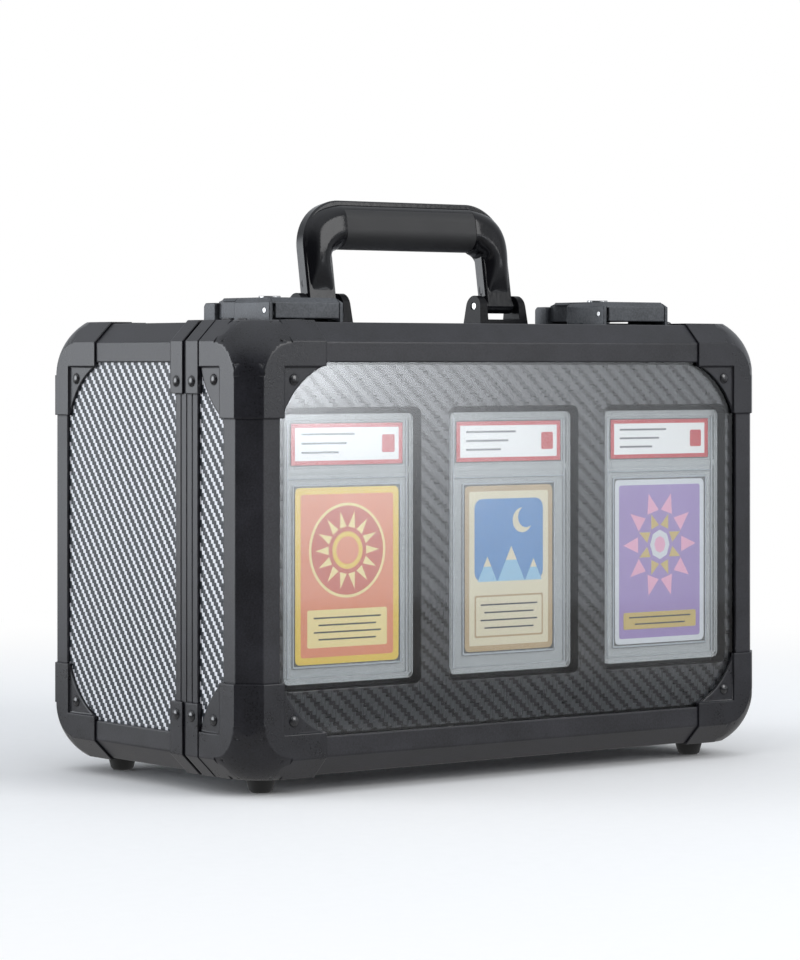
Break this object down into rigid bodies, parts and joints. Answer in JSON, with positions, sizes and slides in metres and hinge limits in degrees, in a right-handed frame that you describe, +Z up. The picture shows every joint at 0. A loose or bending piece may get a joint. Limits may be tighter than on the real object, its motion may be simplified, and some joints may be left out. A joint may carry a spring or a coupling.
{
  "type": "graded card display case",
  "caption": "Hard carry case with a clear display window over graded card slabs, a hinged lid, key latches, corner caps and a folding handle.",
  "frame": {"origin": "on the ground under the middle of the closed case", "axes": "+Z up, +X to the right along the window, -Y out of the window towards the viewer"},
  "size_m": [0.351, 0.1872, 0.3024],
  "materials": {
    "clear_plastic": "polished clear acrylic",
    "weave_panel": "carbon weave laminate",
    "black_profile": "black anodised, satin",
    "black_steel": "black powder coat, fine texture",
    "rivet_steel": "black, satin",
    "foot_rubber": "black, matte",
    "tray_weave": "dark carbon weave laminate",
    "foam": "black closed-cell foam",
    "slab_plastic": "clear, lightly frosted",
    "label_print": "printed paper",
    "card_print": "printed card",
    "handle_plastic": "black, glossy",
    "grip_rubber": "black, matte",
    "bright_steel": "bright plated",
    "latch_paint": "dark grey, fine grain"
  },
  "bodies": {
    "main": {"rear_panel": "weave_panel", "main_side_panel_left": "weave_panel", "main_side_panel_right": "weave_panel", "main_top_panel": "weave_panel", "main_bottom_panel": "weave_panel", "rear_edges": "black_profile", "main_corner_edges": "black_profile", "main_mouth_frame": "black_profile", "rear_cap_bottom_left": "black_steel", "rear_cap_bottom_right": "black_steel", "rear_cap_top_left": "black_steel", "rear_cap_top_right": "black_steel", "main_clips": "black_steel", "main_rivets": "rivet_steel", "main_feet": "foot_rubber", "foam_insert": "foam", "handle_bracket_left": "latch_paint", "handle_bracket_right": "latch_paint", "handle_pins": "bright_steel", "latch_catch_left": "latch_paint", "latch_catch_right": "latch_paint", "hinge_main_leaves": "black_steel", "hinge_pins": "bright_steel"},
    "lid": {"window": "clear_plastic", "lid_side_panel_left": "weave_panel", "lid_side_panel_right": "weave_panel", "lid_top_panel": "weave_panel", "lid_bottom_panel": "weave_panel", "front_edges": "black_profile", "lid_corner_edges": "black_profile", "lid_mouth_frame": "black_profile", "front_cap_bottom_left": "black_steel", "front_cap_bottom_right": "black_steel", "front_cap_top_left": "black_steel", "front_cap_top_right": "black_steel", "lid_clips": "black_steel", "lid_rivets": "rivet_steel", "lid_feet": "foot_rubber", "display_tray": "tray_weave", "tray_pad": "foam", "slab_left": "slab_plastic", "slab_centre": "slab_plastic", "slab_right": "slab_plastic", "slab_labels": "label_print", "card_left": "card_print", "card_centre": "card_print", "card_right": "card_print", "latch_base_left": "latch_paint", "latch_base_right": "latch_paint", "latch_pins": "bright_steel", "hinge_lid_leaves": "black_steel"},
    "handle": {"handle_frame": "handle_plastic", "handle_grip": "grip_rubber"},
    "latch_left": {"latch_cover_left": "latch_paint"},
    "latch_right": {"latch_cover_right": "latch_paint"},
    "lock_left": {"lock_cylinder_left": "bright_steel"},
    "lock_right": {"lock_cylinder_right": "bright_steel"}
  },
  "joints": [
    {"name": "lid_hinge", "type": "hinge", "parent": "main", "child": "lid", "pos_m": [0, -0.04, 0.006], "axis": [1, 0, 0], "range_deg": [0, 95]},
    {"name": "handle_swing", "type": "hinge", "parent": "main", "child": "handle", "pos_m": [0, 0.0015, 0.2467], "axis": [1, 0, 0], "range_deg": [-78, 96]},
    {"name": "latch_left_hinge", "type": "hinge", "parent": "lid", "child": "latch_left", "pos_m": [-0.1113, -0.0528, 0.2422], "axis": [1, 0, 0], "range_deg": [0, 100]},
    {"name": "lock_left_turn", "type": "hinge", "parent": "latch_left", "child": "lock_left", "pos_m": [-0.1113, -0.0249, 0.2488], "axis": [0, 0, 1], "range_deg": [0, 90]},
    {"name": "latch_right_hinge", "type": "hinge", "parent": "lid", "child": "latch_right", "pos_m": [0.1113, -0.0528, 0.2422], "axis": [1, 0, 0], "range_deg": [0, 100]},
    {"name": "lock_right_turn", "type": "hinge", "parent": "latch_right", "child": "lock_right", "pos_m": [0.1113, -0.0249, 0.2488], "axis": [0, 0, 1], "range_deg": [0, 90]}
  ]
}
